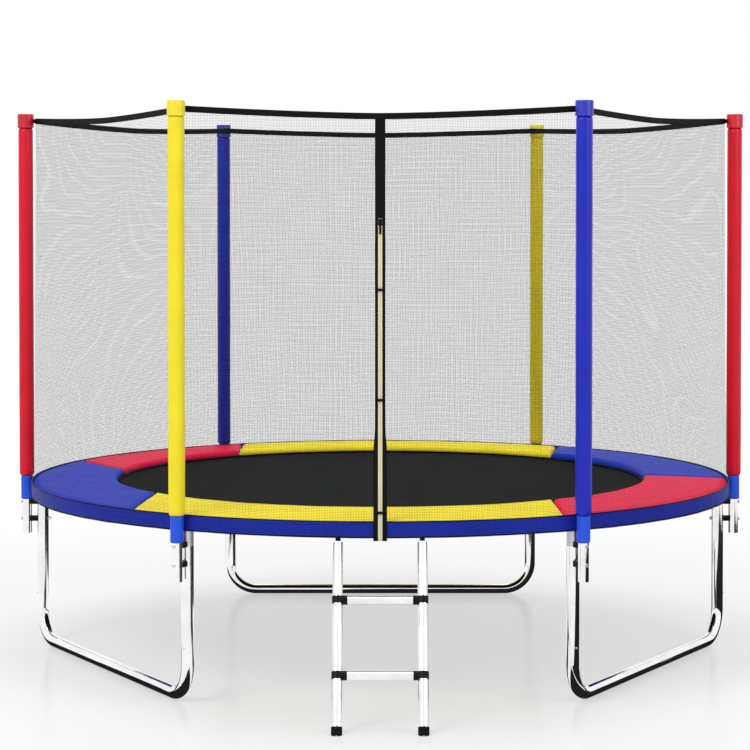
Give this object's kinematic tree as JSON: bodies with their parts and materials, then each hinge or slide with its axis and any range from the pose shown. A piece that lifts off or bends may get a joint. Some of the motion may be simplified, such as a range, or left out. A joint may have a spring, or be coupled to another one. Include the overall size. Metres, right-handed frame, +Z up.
{
  "type": "trampoline",
  "caption": "Round garden trampoline with U-shaped legs, a sprung mat, a coloured safety pad, a net enclosure on padded poles with a zipped entrance, and a hook-on ladder.",
  "frame": {"origin": "on the floor at the centre of the ring", "axes": "+Z up, the ladder and the entrance face -Y, +X to the right seen from the entrance"},
  "size_m": [3.213, 3.3863, 2.3462],
  "materials": {
    "black_mat_mesh": "woven polypropylene",
    "black_plastic": "moulded plastic",
    "black_rubber": "moulded rubber",
    "black_webbing": "woven webbing",
    "blue_cap_plastic": "moulded plastic",
    "blue_pad_cover": "coated fabric over foam",
    "blue_sleeve_cover": "smooth vinyl over foam",
    "chromed_ladder_tube": "bright plated tube",
    "chromed_leg_tube": "bright plated tube",
    "cream_zip_tape": "woven zip tape",
    "grey_net_mesh": "open knitted mesh",
    "light_blue_sleeve": "glossy plastic tube",
    "navy_skirt_cover": "coated fabric",
    "red_cap_plastic": "moulded plastic",
    "red_pad_cover": "coated fabric over foam",
    "red_sleeve_cover": "smooth vinyl over foam",
    "yellow_cap_plastic": "moulded plastic",
    "yellow_pad_cover": "coated fabric over foam",
    "yellow_sleeve_cover": "smooth vinyl over foam",
    "zinc_fasteners": "zinc plated",
    "zinc_pole_tube": "galvanised, satin",
    "zinc_ring_tube": "galvanised, satin",
    "zinc_wire": "zinc plated spring wire"
  },
  "bodies": {
    "frame": {"entrance_border": "black_webbing", "foam_sleeve_back_left": "blue_sleeve_cover", "foam_sleeve_back_right": "yellow_sleeve_cover", "foam_sleeve_front_left": "yellow_sleeve_cover", "foam_sleeve_front_right": "blue_sleeve_cover", "foam_sleeve_left": "red_sleeve_cover", "foam_sleeve_right": "red_sleeve_cover", "frame_screws": "zinc_fasteners", "leg_base_back": "chromed_leg_tube", "leg_base_left": "chromed_leg_tube", "leg_base_right": "chromed_leg_tube", "leg_uprights": "chromed_leg_tube", "net_panel_back": "grey_net_mesh", "net_panel_back_left": "grey_net_mesh", "net_panel_back_right": "grey_net_mesh", "net_panel_front": "grey_net_mesh", "net_panel_front_left": "grey_net_mesh", "net_panel_front_right": "grey_net_mesh", "net_top_hem": "black_webbing", "pad_blue_left": "blue_pad_cover", "pad_blue_right": "blue_pad_cover", "pad_red_left": "red_pad_cover", "pad_red_right": "red_pad_cover", "pad_skirt": "navy_skirt_cover", "pad_yellow_back": "yellow_pad_cover", "pad_yellow_front": "yellow_pad_cover", "pole_base_sleeves": "light_blue_sleeve", "pole_bolts": "zinc_fasteners", "pole_caps_blue": "blue_cap_plastic", "pole_caps_red": "red_cap_plastic", "pole_caps_yellow": "yellow_cap_plastic", "pole_lower_back_left": "zinc_pole_tube", "pole_lower_back_right": "zinc_pole_tube", "pole_lower_front_left": "zinc_pole_tube", "pole_lower_front_right": "zinc_pole_tube", "pole_lower_left": "zinc_pole_tube", "pole_lower_right": "zinc_pole_tube", "pole_nuts": "zinc_fasteners", "pole_spacers": "black_plastic", "poles_upper": "zinc_pole_tube", "ring_segment_back_left": "zinc_ring_tube", "ring_segment_back_right": "zinc_ring_tube", "ring_segment_front_left": "zinc_ring_tube", "ring_segment_front_right": "zinc_ring_tube", "ring_segment_left": "zinc_ring_tube", "ring_segment_right": "zinc_ring_tube", "springs": "zinc_wire", "zip_tape": "cream_zip_tape"},
    "mat": {"mat_sheet": "black_mat_mesh", "mat_webbing": "black_webbing", "v_rings": "zinc_wire"},
    "ladder": {"ladder_rails": "chromed_ladder_tube", "ladder_rungs": "chromed_ladder_tube", "ladder_tees": "black_plastic", "ladder_bolts": "zinc_fasteners", "ladder_feet": "black_rubber"},
    "zip_slider": {"zip_slider": "black_plastic"},
    "tab_lower": {"entrance_tab_lower": "black_webbing"},
    "tab_middle": {"entrance_tab_middle": "black_webbing"},
    "tab_upper": {"entrance_tab_upper": "black_webbing"}
  },
  "joints": [
    {"name": "mat_bounce", "type": "slide", "parent": "frame", "child": "mat", "axis": [0, 0, 1], "range_m": [-0.3, 0], "stiffness_N_per_m": 4000, "springref_m": 0.03, "deforming": ["springs"]},
    {"name": "ladder_swing", "type": "hinge", "parent": "frame", "child": "ladder", "pos_m": [0, -1.49144, 0.7028], "axis": [-1, 0, 0], "range_deg": [0, 20]},
    {"name": "zip_travel", "type": "slide", "parent": "frame", "child": "zip_slider", "axis": [0, 0.1394, 0.9902], "range_m": [-1.06, 0]},
    {"name": "tab_lower_open", "type": "hinge", "parent": "frame", "child": "tab_lower", "pos_m": [-0.02, -1.53284, 0.77692], "axis": [0, -0.1394, -0.9902], "range_deg": [0, 90]},
    {"name": "tab_middle_open", "type": "hinge", "parent": "frame", "child": "tab_middle", "pos_m": [-0.02, -1.47332, 1.19975], "axis": [0, -0.1394, -0.9902], "range_deg": [0, 90]},
    {"name": "tab_upper_open", "type": "hinge", "parent": "frame", "child": "tab_upper", "pos_m": [-0.02, -1.41449, 1.61763], "axis": [0, -0.1394, -0.9902], "range_deg": [0, 90]}
  ]
}
